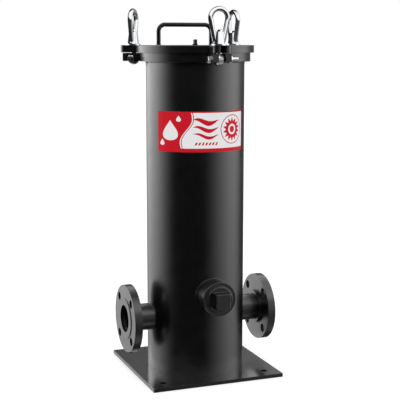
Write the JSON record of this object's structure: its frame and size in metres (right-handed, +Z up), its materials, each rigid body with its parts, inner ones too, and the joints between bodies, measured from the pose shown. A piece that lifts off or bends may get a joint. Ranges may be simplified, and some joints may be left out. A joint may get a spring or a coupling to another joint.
{
  "type": "fuel filter housing",
  "caption": "Vertical pressure housing for one filter cartridge, with flanged side nozzles, a lid on swing bolts with lifting eye nuts, and a square foot plate.",
  "frame": {"origin": "middle of the underside of the foot plate, on the shell's axis", "axes": "+Z up along the shell, +X out of the outlet nozzle, -Y out of the front coupling"},
  "size_m": [0.3402, 0.3249, 0.814],
  "materials": {
    "black_paint": "semi-gloss black enamel",
    "black_iron": "black malleable iron",
    "chrome": "bright polished plating",
    "zinc_plate": "bright zinc plating",
    "rubber": "matt nitrile rubber",
    "tinned_steel": "plain tinned sheet",
    "filter_paper": "resin treated paper",
    "filter_sock": "white synthetic sock",
    "label": "printed vinyl, red and white"
  },
  "bodies": {
    "housing": {"base_plate": "black_paint", "shell": "black_paint", "body_ring": "black_paint", "lid_seal": "rubber", "clevis_lugs": "black_paint", "pivot_bolts": "zinc_plate", "pivot_nuts": "zinc_plate", "lid": "black_paint", "handle": "black_paint", "inlet_flange": "black_paint", "outlet_flange": "black_paint", "inlet_pipe": "black_paint", "outlet_pipe": "black_paint", "outlet_elbow": "black_paint", "front_coupling": "black_paint", "element_seat": "black_paint", "lower_gasket": "rubber", "lower_end_cap": "tinned_steel", "upper_end_cap": "tinned_steel", "centre_tube": "tinned_steel", "outer_wrap": "filter_sock", "pleated_medium": "filter_paper", "tie_rod": "zinc_plate", "rod_seal": "rubber", "hold_down_plate": "zinc_plate", "tie_rod_nut": "zinc_plate"},
    "swing_bolt_front": {"swing_bolt_front": "zinc_plate"},
    "washer_front": {"washer_front": "zinc_plate"},
    "eye_nut_front": {"eye_nut_front": "chrome"},
    "swing_bolt_right": {"swing_bolt_right": "zinc_plate"},
    "washer_right": {"washer_right": "zinc_plate"},
    "eye_nut_right": {"eye_nut_right": "chrome"},
    "swing_bolt_left": {"swing_bolt_left": "zinc_plate"},
    "washer_left": {"washer_left": "zinc_plate"},
    "eye_nut_left": {"eye_nut_left": "chrome"},
    "front_plug": {"front_plug": "black_iron"},
    "vent_plug": {"vent_plug": "black_iron"}
  },
  "joints": [
    {"name": "swing_front", "type": "hinge", "parent": "housing", "child": "swing_bolt_front", "pos_m": [0, -0.1397, 0.7042], "axis": [1, 0, 0], "range_deg": [0, 72.95]},
    {"name": "lift_front", "type": "slide", "parent": "swing_bolt_front", "child": "washer_front", "axis": [0, 0, 1], "range_m": [0, 0.0274]},
    {"name": "unscrew_front", "type": "hinge", "parent": "washer_front", "child": "eye_nut_front", "pos_m": [0, -0.1397, 0.7336], "axis": [0, 0, 1], "range_deg": [0, 5040]},
    {"name": "swing_right", "type": "hinge", "parent": "housing", "child": "swing_bolt_right", "pos_m": [0.12098, 0.06985, 0.7042], "axis": [-0.5, 0.866, 0], "range_deg": [0, 72.95]},
    {"name": "lift_right", "type": "slide", "parent": "swing_bolt_right", "child": "washer_right", "axis": [0, 0, 1], "range_m": [0, 0.0274]},
    {"name": "unscrew_right", "type": "hinge", "parent": "washer_right", "child": "eye_nut_right", "pos_m": [0.12098, 0.06985, 0.7336], "axis": [0, 0, 1], "range_deg": [0, 5040]},
    {"name": "swing_left", "type": "hinge", "parent": "housing", "child": "swing_bolt_left", "pos_m": [-0.12098, 0.06985, 0.7042], "axis": [-0.5, -0.866, 0], "range_deg": [0, 72.95]},
    {"name": "lift_left", "type": "slide", "parent": "swing_bolt_left", "child": "washer_left", "axis": [0, 0, 1], "range_m": [0, 0.0274]},
    {"name": "unscrew_left", "type": "hinge", "parent": "washer_left", "child": "eye_nut_left", "pos_m": [-0.12098, 0.06985, 0.7336], "axis": [0, 0, 1], "range_deg": [0, 5040]},
    {"name": "front_plug_out", "type": "slide", "parent": "housing", "child": "front_plug", "axis": [0, -1, 0], "range_m": [0, 0.035]},
    {"name": "vent_plug_out", "type": "slide", "parent": "housing", "child": "vent_plug", "axis": [0, 0, 1], "range_m": [0, 0.02]}
  ],
  "couplings": [
    {"joint": "lift_front", "follows": "unscrew_front", "m_per_rad": 0.00031096},
    {"joint": "swing_front", "follows": "unscrew_front", "ratio": 0.014463},
    {"joint": "lift_right", "follows": "unscrew_right", "m_per_rad": 0.00031096},
    {"joint": "swing_right", "follows": "unscrew_right", "ratio": 0.014463},
    {"joint": "lift_left", "follows": "unscrew_left", "m_per_rad": 0.00031096},
    {"joint": "swing_left", "follows": "unscrew_left", "ratio": 0.014463}
  ]
}
